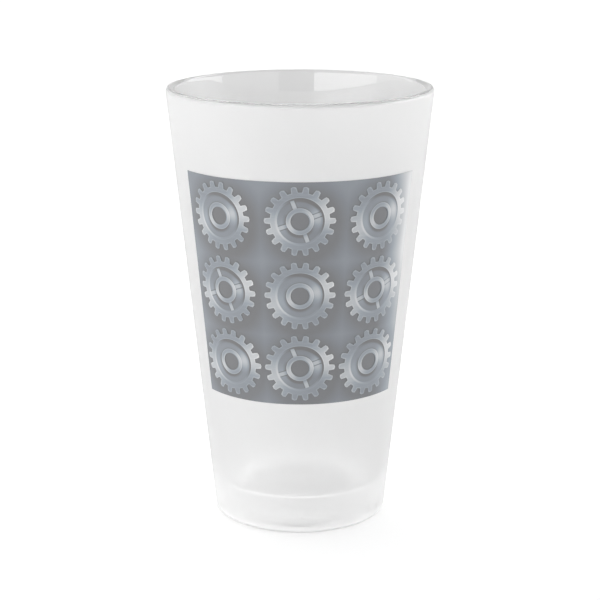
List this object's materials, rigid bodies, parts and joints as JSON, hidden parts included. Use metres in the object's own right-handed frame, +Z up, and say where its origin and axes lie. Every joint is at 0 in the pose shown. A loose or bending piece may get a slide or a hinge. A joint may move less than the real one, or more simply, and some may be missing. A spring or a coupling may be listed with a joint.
{
  "type": "pint glass",
  "caption": "Conical pint glass, frosted outside, with a thick bottom, a rounded lip and a printed panel of gears on its front.",
  "frame": {"origin": "middle of the foot, on the plane that the glass stands on", "axes": "+Z up along the glass's axis, towards the mouth; the middle of the print faces -Y"},
  "size_m": [0.09, 0.09, 0.149],
  "materials": {
    "clear_glass": "clear, fire-polished",
    "frosted_coat": "fine satin frost, see-through but blurred",
    "ground_ink": "matte ink, slate grey going to pale grey at the right edge",
    "steel_ink": "matte ink drawn as brushed steel"
  },
  "bodies": {
    "root": {"glass_tumbler": "clear_glass", "frosted_coating": "frosted_coat", "print_ground": "ground_ink", "print_gear_1_1": "steel_ink", "print_gear_1_2": "steel_ink", "print_gear_1_3": "steel_ink", "print_gear_2_1": "steel_ink", "print_gear_2_2": "steel_ink", "print_gear_2_3": "steel_ink", "print_gear_3_1": "steel_ink", "print_gear_3_2": "steel_ink", "print_gear_3_3": "steel_ink"}
  },
  "joints": []
}
